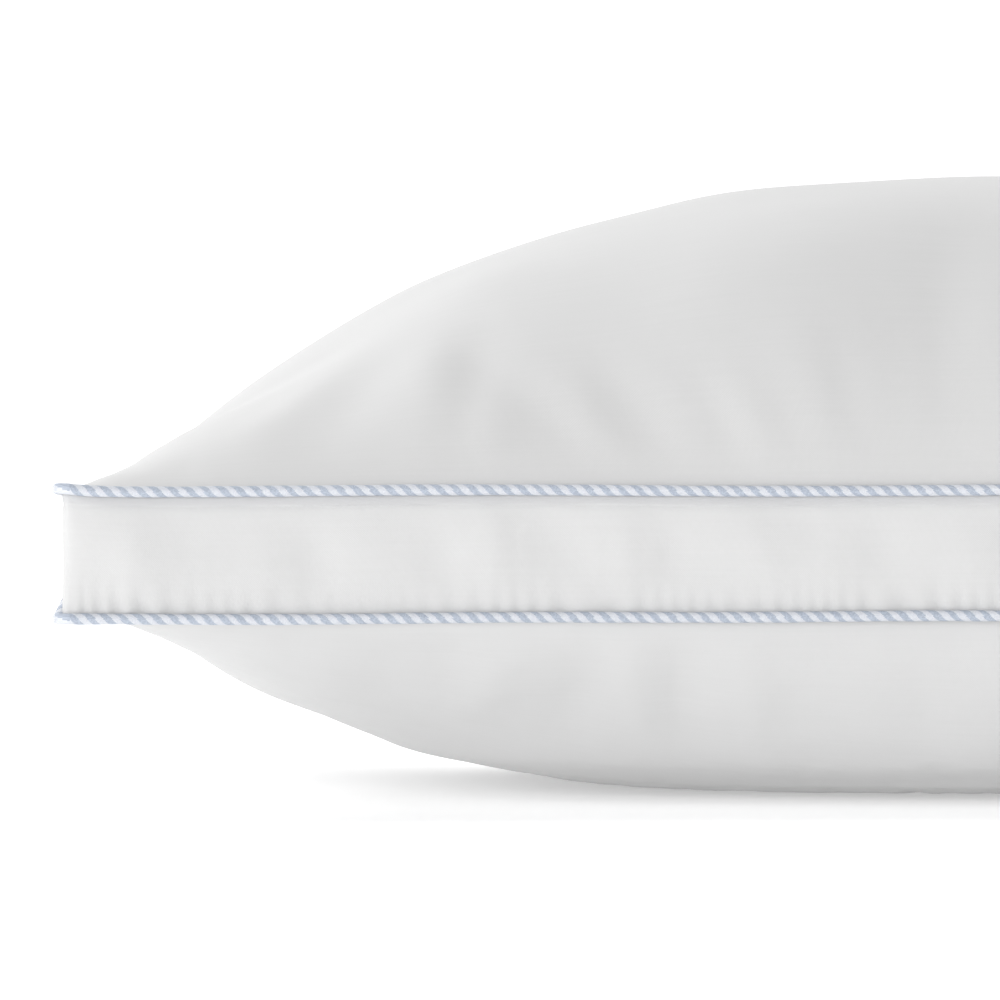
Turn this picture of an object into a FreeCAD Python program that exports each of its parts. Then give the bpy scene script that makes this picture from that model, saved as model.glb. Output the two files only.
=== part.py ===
import FreeCAD, Part
import math
import os

# A plump gusseted bed pillow. Two cotton panels are sewn to a straight strip of cloth (the
# gusset) that goes all the way round between them. A corded piping is caught in each of the two
# ring seams, and loose fibre fills the bag. Millimetres, +Z up, +X along the pillow's length,
# origin under the pillow's middle, on the surface that it rests on.

DRIVING_DIMENSIONS = [
    # Seam outline in plan. The filling draws the sides in between the corners.
    ("corner_half_length", 373.5),
    ("middle_half_length", 344.0),
    ("corner_half_width", 236.0),
    ("middle_half_width", 200.0),
    # Heights of the two ring seams above the resting surface.
    ("lower_seam_height", 79.0),
    ("upper_seam_height", 130.0),
    # Domes: how far each panel bulges from its seam, and how full its flanks are.
    ("top_crown_rise", 131.0),
    ("top_length_power", 2.25),
    ("top_length_fullness", 0.80),
    ("top_width_power", 2.2),
    ("top_width_fullness", 0.72),
    ("bottom_crown_drop", 111.0),
    ("bottom_length_power", 1.3),
    ("bottom_length_fullness", 0.65),
    ("bottom_width_power", 2.2),
    ("bottom_width_fullness", 0.70),
    # Cloth, seams and piping.
    ("cloth_thickness", 0.8),
    ("layer_gap", 0.3),
    ("seam_allowance", 12.0),
    ("flange_thickness", 0.8),
    ("piping_offset", 2.9),
    ("piping_radius", 2.2),
    ("cord_radius", 1.3),
    ("cord_clearance", 0.3),
    ("thread_radius", 0.25),
    ("thread_inset", 7.0),
    # Gusset joins at two opposite corners.
    ("join_gap", 0.4),
    ("join_allowance", 14.0),
    ("join_stitch_depth", 8.4),
    ("join_setback", 3.0),
    # Blank care label at the back.
    ("label_width", 32.0),
    ("label_drop", 40.0),
    ("label_centre", 150.0),
    # Blocks that only cut other solids run past them by this, or are this many times as large.
    ("cutter_overrun", 5.0),
    ("cutter_oversize", 1.5),
]

doc = FreeCAD.newDocument("bed_pillow")
sheet = doc.addObject("Spreadsheet::Sheet", "dimensions")
for row, (alias, value) in enumerate(DRIVING_DIMENSIONS, start=1):
    sheet.set(f"A{row}", alias)
    sheet.set(f"B{row}", str(value))
    sheet.setAlias(f"B{row}", alias)
doc.recompute()


def size(alias):
    """A driving dimension, read from the sheet."""
    return float(sheet.get(alias))


def bound(kind, name, **expressions):
    """A new document object whose properties follow the sheet."""
    thing = doc.addObject(kind, name)
    for prop, expression in expressions.items():
        thing.setExpression(prop.replace("__", "."), expression)
    return thing


def in_sheet(expression):
    """The same expression with every alias read from the sheet."""
    words = expression
    for alias, _ in sorted(DRIVING_DIMENSIONS, key=lambda pair: -len(pair[0])):
        words = words.replace(alias, "@" + alias[::-1] + "@")
    for alias, _ in DRIVING_DIMENSIONS:
        words = words.replace("@" + alias[::-1] + "@", "dimensions." + alias)
    return words


def words_value(expression):
    """The value of a sum or product of driving dimensions."""
    probe = doc.addObject("App::FeaturePython", "probe")
    probe.addProperty("App::PropertyFloat", "Value")
    probe.setExpression("Value", in_sheet(expression))
    probe.recompute()
    value = probe.Value
    doc.removeObject(probe.Name)
    return value


# ---------------------------------------------------------------- seam outline in plan

def bow_circle(half_chord, depth):
    """Radius of the circle through two ends and a middle that is drawn in by the depth."""
    return (half_chord ** 2 + depth ** 2) / (2 * depth)


def circles_meet(centre_one, radius_one, centre_two, radius_two, near):
    """The point where two circles cross, on the side of the given point."""
    across = centre_two - centre_one
    reach = across.Length
    along = (reach ** 2 + radius_one ** 2 - radius_two ** 2) / (2 * reach)
    height = math.sqrt(radius_one ** 2 - along ** 2)
    foot = centre_one + across * (along / reach)
    side = FreeCAD.Vector(-across.y, across.x, 0) * (height / reach)
    return min((foot + side, foot - side), key=lambda point: (point - near).Length)


def ring_wire(name, offset_words, rounded):
    """The seam outline moved outwards: four shallow arcs that bow inwards, with round or sharp
    corners. The arcs are part of four circles whose centres lie outside the pillow."""
    offset = words_value(offset_words)
    long_x, mid_x = size("corner_half_length"), size("middle_half_length")
    short_y, mid_y = size("corner_half_width"), size("middle_half_width")
    long_radius = bow_circle(long_x, short_y - mid_y)
    short_radius = bow_circle(short_y, long_x - mid_x)
    signs = [(-1, -1), (1, -1), (1, 1), (-1, 1)]
    sides = [(FreeCAD.Vector(0, -mid_y - long_radius, 0), long_radius),
             (FreeCAD.Vector(mid_x + short_radius, 0, 0), short_radius),
             (FreeCAD.Vector(0, mid_y + long_radius, 0), long_radius),
             (FreeCAD.Vector(-mid_x - short_radius, 0, 0), short_radius)]
    edges = []
    starts, ends = {}, {}
    for turn, (sign_x, sign_y) in enumerate(signs):
        corner = FreeCAD.Vector(sign_x * long_x, sign_y * short_y, 0)
        before, after = (turn - 1) % 4, turn
        if rounded:
            touch = [centre + (corner - centre) * ((radius - offset) / radius)
                     for centre, radius in (sides[before], sides[after])]
            outward = FreeCAD.Vector(sign_x, sign_y, 0)
            outward.normalize()
            edges.append(Part.Arc(touch[0], corner + outward * offset, touch[1]).toShape())
            ends[before], starts[after] = touch
        else:
            (centre_a, radius_a), (centre_b, radius_b) = sides[before], sides[after]
            meet = circles_meet(centre_a, radius_a - offset, centre_b, radius_b - offset, corner)
            ends[before] = starts[after] = meet
    for turn, (centre, radius) in enumerate(sides):
        inward = FreeCAD.Vector(-centre.x, -centre.y, 0)
        inward.normalize()
        edges.append(Part.Arc(starts[turn], centre + inward * (radius - offset), ends[turn]).toShape())
    wire = doc.addObject("Part::Feature", name)
    wire.Shape = Part.Wire(Part.sortEdges(edges)[0])
    wire.Placement = FreeCAD.Placement()
    return wire


def prism(name, offset_words, low_words, high_words, rounded=False):
    """A straight-sided block on the seam outline, between two heights."""
    wire = ring_wire(name + "_wire", offset_words, rounded)
    block = bound("Part::Extrusion", name, LengthFwd=in_sheet(f"{high_words} - ({low_words})"),
                  Placement__Base__z=in_sheet(low_words))
    block.Base = wire
    block.DirMode = "Custom"
    block.Dir = FreeCAD.Vector(0, 0, 1)
    block.Solid = True
    return block


def cut(name, base, tool):
    """Base minus tool."""
    result = doc.addObject("Part::Cut", name)
    result.Base = base
    result.Tool = tool
    return result


def common(name, *shapes):
    """What all the shapes share."""
    result = doc.addObject("Part::MultiCommon", name)
    result.Shapes = list(shapes)
    return result


def fuse(name, *shapes):
    """All the shapes as one solid."""
    result = doc.addObject("Part::MultiFuse", name)
    result.Shapes = list(shapes)
    return result


# ---------------------------------------------------------------- domed panels

LENGTH_STEPS = 30
WIDTH_STEPS = 24


def dome(name, side, base_height, inset, base_shift, rise, wall=0.0):
    """Solid dome on the seam outline, with an upright wall round its foot.

    Along the length and across the width, s and t run from -1 to 1 between the seams. The plan
    place is s times the half length at t, and t times the half width at s. The height over the
    wall is the rise times (1 - |s|^power)^fullness times the same in t. side is 1 upwards and -1
    downwards.
    """
    part = "top" if side > 0 else "bottom"
    length_power, length_fullness = size(part + "_length_power"), size(part + "_length_fullness")
    width_power, width_fullness = size(part + "_width_power"), size(part + "_width_fullness")
    corner_x, middle_x = size("corner_half_length") - inset, size("middle_half_length") - inset
    corner_y, middle_y = size("corner_half_width") - inset, size("middle_half_width") - inset
    rows = []
    for i in range(LENGTH_STEPS + 1):
        along = math.sin(math.pi * (i / LENGTH_STEPS - 0.5))
        row = []
        for j in range(WIDTH_STEPS + 1):
            across = math.sin(math.pi * (j / WIDTH_STEPS - 0.5))
            x = along * (middle_x + (corner_x - middle_x) * across ** 2)
            y = across * (middle_y + (corner_y - middle_y) * along ** 2)
            swell = (max(0.0, 1 - abs(along) ** length_power) ** length_fullness
                     * max(0.0, 1 - abs(across) ** width_power) ** width_fullness)
            height = base_shift + wall + rise * swell
            row.append(FreeCAD.Vector(x, y, base_height + side * height))
        rows.append(row)
    surface = Part.BSplineSurface()
    surface.interpolate(rows)
    skin = surface.toShape()
    rim = Part.Wire(Part.sortEdges(skin.Edges)[0])
    faces = [skin]
    if wall > 0:
        to_foot = FreeCAD.Vector(0, 0, -side * wall)
        faces += rim.extrude(to_foot).Faces
        rim = rim.translated(to_foot)
    shell = Part.Shell([*faces, Part.Face(rim)])
    shell.sewShape()
    solid = Part.Solid(shell)
    if solid.Volume < 0:
        solid.reverse()
    feature = doc.addObject("Part::Feature", name)
    feature.Shape = solid
    feature.Placement = FreeCAD.Placement()
    return feature


upper, lower = size("upper_seam_height"), size("lower_seam_height")
cloth, gap = size("cloth_thickness"), size("layer_gap")
half_flange = size("flange_thickness") / 2
panel_base = half_flange + gap / 2
top_rise, bottom_drop = size("top_crown_rise"), size("bottom_crown_drop")

flange_top = "flange_thickness / 2"
layer_base = "flange_thickness / 2 + layer_gap / 2"

# Both surfaces of a panel swell alike, so the cloth is nowhere thinner than its thickness.
top_outer = dome("top_outer_dome", 1, upper, 0.0, panel_base, top_rise - 2 * cloth, 2 * cloth)
top_inner = dome("top_inner_dome", 1, upper, cloth, panel_base + cloth, top_rise - 2 * cloth)
bottom_outer = dome("bottom_outer_dome", -1, lower, 0.0, panel_base, bottom_drop - 2 * cloth,
                    2 * cloth)
bottom_inner = dome("bottom_inner_dome", -1, lower, cloth, panel_base + cloth,
                    bottom_drop - 2 * cloth)


def floor_block(name, height_words):
    """Everything above a height, as a block larger than the pillow."""
    return bound("Part::Box", name, Length=in_sheet("corner_half_length * cutter_oversize * 2"),
                 Width=in_sheet("corner_half_width * cutter_oversize * 2"),
                 Height=in_sheet("upper_seam_height"),
                 Placement__Base__x=in_sheet("-corner_half_length * cutter_oversize"),
                 Placement__Base__y=in_sheet("-corner_half_width * cutter_oversize"),
                 Placement__Base__z=in_sheet(height_words))


# The allowance of each panel is the flat ring that the inner dome and the opening leave.
top_shell = cut("top_shell", top_outer, top_inner)
top_hole = prism("top_hole", "-seam_allowance", "upper_seam_height - cutter_overrun",
                 f"upper_seam_height + {layer_base} + cloth_thickness")
top_panel = cut("top_panel", top_shell, top_hole)

# The weight of the pillow flattens the bottom panel where it meets the surface below.
bottom_rested = common("bottom_rested", bottom_outer, floor_block("above_floor", "0"))
bottom_hollow = common("bottom_hollow", bottom_inner, floor_block("above_cloth", "cloth_thickness"))
bottom_shell = cut("bottom_shell", bottom_rested, bottom_hollow)
bottom_hole = prism("bottom_hole", "-seam_allowance",
                    f"lower_seam_height - ({layer_base}) - cloth_thickness",
                    "lower_seam_height + cutter_overrun")
bottom_panel = cut("bottom_panel", bottom_shell, bottom_hole)

# ---------------------------------------------------------------- gusset

strip_low = f"lower_seam_height + {layer_base}"
strip_high = f"upper_seam_height - ({layer_base})"
strip_block = prism("strip_block", "0", strip_low, strip_high)
strip_hollow = prism("strip_hollow", "-cloth_thickness", strip_low + " + cloth_thickness",
                     strip_high + " - cloth_thickness")
strip_hole = prism("strip_hole", "-seam_allowance", "lower_seam_height - cutter_overrun",
                   "upper_seam_height + cutter_overrun")
strip_channel = cut("strip_channel", cut("strip_walls", strip_block, strip_hollow), strip_hole)

DIAGONAL_WORDS = "atan(corner_half_width / corner_half_length)"


def diagonal_box(name, along_words, length_words, across_words, width_words, low_words, high_words,
                 turn_words="0 deg"):
    """A box laid along the diagonal from the back left corner to the front right corner."""
    box = bound("Part::Box", name, Length=in_sheet(length_words), Width=in_sheet(width_words),
                Height=in_sheet(f"{high_words} - ({low_words})"))
    angle = f"({turn_words} - {DIAGONAL_WORDS})"
    box.setExpression("Placement.Rotation.Angle", in_sheet(angle))
    place_x = f"({along_words}) * cos({angle}) - ({across_words}) * sin({angle})"
    place_y = f"({along_words}) * sin({angle}) + ({across_words}) * cos({angle})"
    box.setExpression("Placement.Base.x", in_sheet(place_x))
    box.setExpression("Placement.Base.y", in_sheet(place_y))
    box.setExpression("Placement.Base.z", in_sheet(low_words))
    return box


REACH = "corner_half_length * cutter_oversize"
CORNER_REACH = ("sqrt(corner_half_length * corner_half_length"
                " + corner_half_width * corner_half_width)")


def gusset_strip(name, turn_words):
    """Half of the gusset: the channel on one side of the diagonal, with a turned-in end tab."""
    half = diagonal_box(name + "_half", "-" + REACH, REACH + " * 2", "join_gap / 2", REACH,
                        "0", "upper_seam_height * 2", turn_words)
    tabs = []
    for end, start_words in (("near", f"{CORNER_REACH} - join_allowance"),
                             ("far", f"-{CORNER_REACH} + join_setback")):
        tab = diagonal_box(f"{name}_{end}_tab", start_words, "join_allowance - join_setback",
                           "join_gap / 2", "cloth_thickness", strip_low, strip_high, turn_words)
        tabs.append(tab)
    sides = common(name + "_sides", strip_channel, half)
    return fuse(name, sides, *tabs)


gusset_back = gusset_strip("gusset_strip_back", "0 deg")
gusset_front = gusset_strip("gusset_strip_front", "180 deg")

# ---------------------------------------------------------------- piping


def swept_ring(name, radius_words, offset_words, height_words):
    """A round rod carried all the way round the seam."""
    path = ring_wire(name + "_path", offset_words, True)
    path.Placement.Base.z = words_value(height_words)
    section = bound("Part::Circle", name + "_section", Radius=in_sheet(radius_words))
    section.setExpression("Placement.Base.y", in_sheet(f"-middle_half_width - ({offset_words})"))
    section.setExpression("Placement.Base.z", in_sheet(height_words))
    section.Placement.Rotation = FreeCAD.Rotation(FreeCAD.Vector(0, 1, 0), 90)
    rod = doc.addObject("Part::Sweep", name)
    rod.Sections = [section]
    rod.Spine = (path, [])
    rod.Solid = True
    rod.Frenet = False
    return rod


def piping(level, height_words):
    """Cover with its flat flange, and the filler cord inside it."""
    bead = swept_ring(level + "_bead", "piping_radius", "piping_offset", height_words)
    bore = swept_ring(level + "_bore", "cord_radius + cord_clearance", "piping_offset", height_words)
    cord = swept_ring(level + "_piping_cord", "cord_radius", "piping_offset", height_words)
    flange = prism(level + "_flange_plate", "piping_offset - piping_radius / 2",
                   f"{height_words} - {flange_top}", f"{height_words} + {flange_top}", True)
    hole = prism(level + "_flange_hole", "-seam_allowance", f"{height_words} - cutter_overrun",
                 f"{height_words} + cutter_overrun")
    ring = cut(level + "_flange", flange, hole)
    solid_cover = fuse(level + "_solid_cover", bead, ring)
    cover = cut(level + "_piping_cover", solid_cover, bore)
    return cover, cord


upper_cover, upper_cord = piping("upper", "upper_seam_height")
lower_cover, lower_cord = piping("lower", "lower_seam_height")

# ---------------------------------------------------------------- seam threads


def thread_ring(name, low_words):
    """One thread laid all the way round the seam allowance, square in section."""
    high_words = f"{low_words} + thread_radius * 2"
    outer = prism(name + "_outer", "-thread_inset + thread_radius", low_words, high_words)
    inner = prism(name + "_inner", "-thread_inset - thread_radius",
                  f"{low_words} - cutter_overrun", f"{high_words} + cutter_overrun")
    return cut(name, outer, inner)


def seam_thread(level, height_words):
    """Needle thread above the seam's layers and bobbin thread below them."""
    lift = f"{layer_base} + cloth_thickness"
    needle = thread_ring(level + "_needle_thread", f"{height_words} + {lift}")
    bobbin = thread_ring(level + "_bobbin_thread", f"{height_words} - ({lift} + thread_radius * 2)")
    pair = doc.addObject("Part::Compound", level + "_seam_stitching")
    pair.Links = [needle, bobbin]
    return pair


upper_thread = seam_thread("upper", "upper_seam_height")
lower_thread = seam_thread("lower", "lower_seam_height")


def join_thread():
    """Thread on both faces of the two gusset joins, standing upright."""
    rods = []
    for corner, along_words in (("near", f"{CORNER_REACH} - join_stitch_depth"),
                                ("far", f"-({CORNER_REACH} - join_stitch_depth)")):
        for face, sign in (("front", "-"), ("back", "")):
            across = f"{sign}(join_gap / 2 + cloth_thickness + thread_radius)"
            rod = bound("Part::Cylinder", f"join_thread_{corner}_{face}",
                        Radius=in_sheet("thread_radius"),
                        Height=in_sheet(f"{strip_high} - ({strip_low}) - cloth_thickness * 4"))
            angle = f"(-{DIAGONAL_WORDS})"
            place_x = f"({along_words}) * cos({angle}) - ({across}) * sin({angle})"
            place_y = f"({along_words}) * sin({angle}) + ({across}) * cos({angle})"
            rod.setExpression("Placement.Base.x", in_sheet(place_x))
            rod.setExpression("Placement.Base.y", in_sheet(place_y))
            rod.setExpression("Placement.Base.z", in_sheet(f"{strip_low} + cloth_thickness * 2"))
            rods.append(rod)
    group = doc.addObject("Part::Compound", "gusset_join_stitching")
    group.Links = rods
    return group


gusset_thread = join_thread()

# ---------------------------------------------------------------- filling

fill_inset = cloth + 2 * gap
fill_base = panel_base + cloth - 2 * gap
fill_top = dome("fill_top", 1, upper, fill_inset, fill_base, top_rise - 2 * cloth - gap)
fill_bottom_whole = dome("fill_bottom_whole", -1, lower, fill_inset, fill_base,
                         bottom_drop - 2 * cloth - gap)
fill_bottom = common("fill_bottom", fill_bottom_whole,
                     floor_block("above_lining", "cloth_thickness + layer_gap * 2"))
fill_reach = f"({layer_base} + cloth_thickness - layer_gap * 2)"
fill_middle = prism("fill_middle", "-cloth_thickness - layer_gap * 2",
                    f"lower_seam_height - {fill_reach}", f"upper_seam_height + {fill_reach}")
fill_body = fuse("fill_body", fill_top, fill_bottom, fill_middle)


def seam_slot(level, height_words):
    """The room round a seam that its turned-in layers and threads take out of the filling."""
    room = f"({layer_base} + cloth_thickness + thread_radius * 2 + layer_gap)"
    block = prism(level + "_slot_block", "layer_gap", f"{height_words} - {room}",
                  f"{height_words} + {room}")
    kept = prism(level + "_slot_kept", "-seam_allowance - layer_gap * 2",
                 f"{height_words} - cutter_overrun", f"{height_words} + cutter_overrun")
    return cut(level + "_slot", block, kept)


fill_slots = fuse("fill_slots", seam_slot("upper", "upper_seam_height"),
                  seam_slot("lower", "lower_seam_height"))
fill_slotted = cut("fill_slotted", fill_body, fill_slots)
fill_pockets = []
POCKET_DEPTH = "join_allowance + layer_gap * 2"
POCKET_HALF = "(join_gap / 2 + cloth_thickness + thread_radius * 2 + layer_gap)"
for corner_name, start in (("near", f"{CORNER_REACH} - ({POCKET_DEPTH})"),
                           ("far", f"-{CORNER_REACH}")):
    pocket = diagonal_box(f"fill_{corner_name}_pocket", start, POCKET_DEPTH,
                          f"-{POCKET_HALF}", f"{POCKET_HALF} * 2",
                          f"lower_seam_height + {layer_base}", f"upper_seam_height - ({layer_base})")
    fill_pockets.append(pocket)
fibre = cut("fibre_fill", cut("fill_less_near", fill_slotted, fill_pockets[0]), fill_pockets[1])

# ---------------------------------------------------------------- care label


def care_label():
    """A folded tape that hangs from under the lower piping at the back."""
    label = bound("Part::Box", "care_label", Length=in_sheet("label_width"),
                  Width=in_sheet("cloth_thickness"), Height=in_sheet("label_drop"))
    bow = ("(corner_half_width - middle_half_width) * (label_centre / corner_half_length)"
           " * (label_centre / corner_half_length)")
    label.setExpression("Placement.Base.x", in_sheet("label_centre - label_width / 2"))
    label.setExpression("Placement.Base.y", in_sheet(f"middle_half_width + {bow} + piping_offset"))
    label.setExpression("Placement.Base.z",
                        in_sheet("lower_seam_height - piping_radius - layer_gap - label_drop"))
    return label


label = care_label()

# ---------------------------------------------------------------- check and write

SUB_PARTS = [top_panel, bottom_panel, gusset_front, gusset_back, upper_cover, lower_cover,
             upper_cord, lower_cord, upper_thread, lower_thread, gusset_thread, fibre, label]

doc.recompute()
for thing in doc.Objects:
    if "Invalid" in thing.State or "Error" in thing.State:
        raise RuntimeError(f"{thing.Name} failed: {thing.State}")
for sub_part in SUB_PARTS:
    if sub_part.Shape.isNull() or not sub_part.Shape.isValid():
        raise RuntimeError(f"{sub_part.Label} has no valid shape")

os.makedirs("parts", exist_ok=True)
for sub_part in SUB_PARTS:
    shape = sub_part.Shape
    print(f"{sub_part.Label}: {len(shape.Solids)} solid(s), {shape.Volume / 1000:.2f} cm3,"
          f" z {shape.BoundBox.ZMin:.2f} to {shape.BoundBox.ZMax:.2f}")
    shape.exportStep(f"parts/{sub_part.Label}.step")
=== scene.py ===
import math

import bpy
import numpy as np
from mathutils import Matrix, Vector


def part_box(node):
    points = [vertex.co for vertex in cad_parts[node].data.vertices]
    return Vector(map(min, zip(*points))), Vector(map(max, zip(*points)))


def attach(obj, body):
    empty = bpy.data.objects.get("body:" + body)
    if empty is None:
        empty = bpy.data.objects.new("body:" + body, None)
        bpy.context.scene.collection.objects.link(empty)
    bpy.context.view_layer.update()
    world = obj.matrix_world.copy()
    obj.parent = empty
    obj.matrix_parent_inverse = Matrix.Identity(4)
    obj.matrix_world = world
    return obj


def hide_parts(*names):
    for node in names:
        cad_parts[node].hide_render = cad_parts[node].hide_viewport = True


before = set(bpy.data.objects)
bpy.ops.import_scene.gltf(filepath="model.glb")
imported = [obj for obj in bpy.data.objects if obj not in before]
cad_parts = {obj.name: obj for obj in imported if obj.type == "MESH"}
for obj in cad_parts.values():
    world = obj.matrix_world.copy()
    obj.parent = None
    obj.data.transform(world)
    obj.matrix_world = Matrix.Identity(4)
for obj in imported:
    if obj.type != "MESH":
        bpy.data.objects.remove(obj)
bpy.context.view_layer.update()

MM = 0.001

# ---------------------------------------------------------------- sizes, from the frame

PANEL_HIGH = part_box("top_panel")[1]
UPPER_BEAD_LOW, UPPER_BEAD_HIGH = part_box("upper_piping_cover")
LOWER_BEAD_LOW, LOWER_BEAD_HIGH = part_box("lower_piping_cover")
LABEL_LOW, LABEL_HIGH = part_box("care_label")

# The soft corners stick out a little past the frame's, which stand stiff.
EAR = 2.4 * MM
CORNER_X, CORNER_Y = PANEL_HIGH.x + EAR, PANEL_HIGH.y
UPPER_SEAM = (UPPER_BEAD_LOW.z + UPPER_BEAD_HIGH.z) / 2
LOWER_SEAM = (LOWER_BEAD_LOW.z + LOWER_BEAD_HIGH.z) / 2
BEAD_RADIUS = (UPPER_BEAD_HIGH.z - UPPER_BEAD_LOW.z) / 2
CROWN = PANEL_HIGH.z

# The filling draws the sides of the seam in between the corners by these depths.
SIDE_BOW = 36 * MM
END_BOW = 29.5 * MM
CORNER_ROUND = 1.5 * MM
BEAD_OFFSET = 2.9 * MM
# The cloth's edges are tucked this far out and this far from the seam's level, into the bead.
TUCK = 1.0 * MM
CLOTH = 0.55 * MM

# Cut size of each panel between its seams.
CUT_LENGTH, CUT_WIDTH = 762 * MM, 508 * MM
# The first stretch of a panel beside its seam, where the sewing holds it even.
SEWN_MARGIN = 14 * MM


# ---------------------------------------------------------------- mesh and material helpers

def linear(hex_colour):
    """sRGB hex to linear RGBA."""
    parts = [int(hex_colour[i:i + 2], 16) / 255 for i in (1, 3, 5)]
    return [p / 12.92 if p <= 0.04045 else ((p + 0.055) / 1.055) ** 2.4 for p in parts] + [1.0]


def mesh_object(name, points, faces, uv=None):
    """A mesh object at the origin from an array of points and an array of quads."""
    mesh = bpy.data.meshes.new(name)
    mesh.from_pydata(points.reshape(-1, 3).tolist(), [], faces.tolist())
    if uv is not None:
        layer = mesh.uv_layers.new(name="cloth")
        corners = np.asarray(faces).ravel()
        layer.data.foreach_set("uv", uv.reshape(-1, 2)[corners].ravel())
    mesh.shade_smooth()
    made = bpy.data.objects.new(name, mesh)
    bpy.context.scene.collection.objects.link(made)
    return made


def grid_faces(rows, columns, wrap_rows=False, wrap_columns=False, flip=False):
    """Quads of a grid of points, closed in either direction where asked."""
    i = np.arange(rows if wrap_rows else rows - 1)
    j = np.arange(columns if wrap_columns else columns - 1)
    a, b = np.meshgrid(i, j, indexing="ij")
    a, b = a.ravel(), b.ravel()
    a2, b2 = (a + 1) % rows, (b + 1) % columns
    faces = np.stack([a * columns + b, a2 * columns + b, a2 * columns + b2, a * columns + b2], 1)
    return faces[:, ::-1] if flip else faces


def add_node(tree, kind, inputs=None, **settings):
    """A shader node with its settings, and its inputs as values or links from sockets."""
    node = tree.nodes.new(kind)
    for key, value in settings.items():
        setattr(node, key, value)
    for key, value in (inputs or {}).items():
        if isinstance(value, bpy.types.NodeSocket):
            tree.links.new(value, node.inputs[key])
        else:
            node.inputs[key].default_value = value
    return node


def new_material(name):
    """An empty node material with a Principled shader wired to its output."""
    material = bpy.data.materials.new(name)
    material.use_nodes = True
    tree = material.node_tree
    tree.nodes.clear()
    shader = add_node(tree, "ShaderNodeBsdfPrincipled")
    output = add_node(tree, "ShaderNodeOutputMaterial")
    tree.links.new(shader.outputs["BSDF"], output.inputs["Surface"])
    return material, tree, shader


# ---------------------------------------------------------------- materials

THREAD_PITCH = 0.9  # mm; percale's threads are about 0.25 mm apart, drawn coarser so that they show


def woven_height(tree, uv, pitch):
    """Plain weave: two crossed sets of round threads, from two sine waves multiplied."""
    split = add_node(tree, "ShaderNodeSeparateXYZ", {0: uv})
    turns = 2 * math.pi / pitch
    waves = []
    for axis in ("X", "Y"):
        angle = add_node(tree, "ShaderNodeMath", {0: split.outputs[axis], 1: turns},
                         operation="MULTIPLY")
        waves.append(add_node(tree, "ShaderNodeMath", {0: angle.outputs[0]}, operation="SINE"))
    return add_node(tree, "ShaderNodeMath", {0: waves[0].outputs[0], 1: waves[1].outputs[0]},
                    operation="MULTIPLY").outputs[0]


def cotton_percale(name, painted_shade_from=None):
    """White cotton percale, tightly woven and pressed: matt, with a faint sheen at grazing angles
    and slightly thicker threads here and there. Above the height given, in mm up the piece, the
    cloth is painted darker: painted shade for the upper piping's shadow on the strip."""
    material, tree, shader = new_material(name)
    uv = add_node(tree, "ShaderNodeUVMap", uv_map="cloth").outputs["UV"]
    weave = woven_height(tree, uv, THREAD_PITCH)
    slubs = add_node(tree, "ShaderNodeMapping", {"Vector": uv, "Scale": (0.02, 0.7, 1.0)})
    slub = add_node(tree, "ShaderNodeTexNoise", {"Vector": slubs.outputs[0], "Scale": 1.0,
                                                 "Detail": 3.0})
    cloud = add_node(tree, "ShaderNodeTexNoise", {"Vector": uv, "Scale": 0.012, "Detail": 2.0})
    mixed = add_node(tree, "ShaderNodeMath", {0: slub.outputs["Fac"], 1: cloud.outputs["Fac"]},
                     operation="ADD")
    ramp = add_node(tree, "ShaderNodeMapRange", {"Value": mixed.outputs[0], "From Min": 0.6,
                                                 "From Max": 1.4})
    tint = add_node(tree, "ShaderNodeMix", {"Factor": ramp.outputs[0], "A": linear("#cccccc"),
                                            "B": linear("#cfcfcf")}, data_type="RGBA")
    # Painted shade: just under the upper piping, the strip's colour is mixed toward a darker grey
    # for the piping's shadow.
    if painted_shade_from is not None:
        waver = add_node(tree, "ShaderNodeTexNoise", {"Vector": uv, "Scale": 0.05, "Detail": 1.0})
        place = add_node(tree, "ShaderNodeSeparateXYZ", {"Vector": uv})
        edge = add_node(tree, "ShaderNodeMath", {0: waver.outputs["Fac"], 1: 1.6,
                                                 2: place.outputs["Y"]}, operation="MULTIPLY_ADD")
        layers = add_node(tree, "ShaderNodeMapRange", {
            "Value": edge.outputs[0], "From Min": painted_shade_from, "From Max": painted_shade_from + 0.8})
        tint = add_node(tree, "ShaderNodeMix", {"Factor": layers.outputs[0],
                                                "A": tint.outputs["Result"],
                                                "B": linear("#c2c2c3")}, data_type="RGBA")
    tree.links.new(tint.outputs["Result"], shader.inputs["Base Color"])
    height = add_node(tree, "ShaderNodeMath", {0: slub.outputs["Fac"], 1: 0.12, 2: weave},
                      operation="MULTIPLY_ADD")
    bump = add_node(tree, "ShaderNodeBump", {"Height": height.outputs[0], "Strength": 0.2,
                                             "Distance": 0.0001})
    tree.links.new(bump.outputs[0], shader.inputs["Normal"])
    shader.inputs["Roughness"].default_value = 0.82
    shader.inputs["Specular IOR Level"].default_value = 0.3
    shader.inputs["Sheen Weight"].default_value = 0.12
    shader.inputs["Sheen Roughness"].default_value = 0.5
    return material


STRIPE_PITCH = 6.7   # mm along the piping from one blue stripe to the next
STRIPE_SHARE = 0.50  # of the pitch that is blue
STRIPE_SLANT = 1.0   # mm of shift along the piping for each mm up its face
YARN_CELL = 0.5      # mm, the width of one yarn: the stripes' edges step from yarn to yarn


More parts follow.
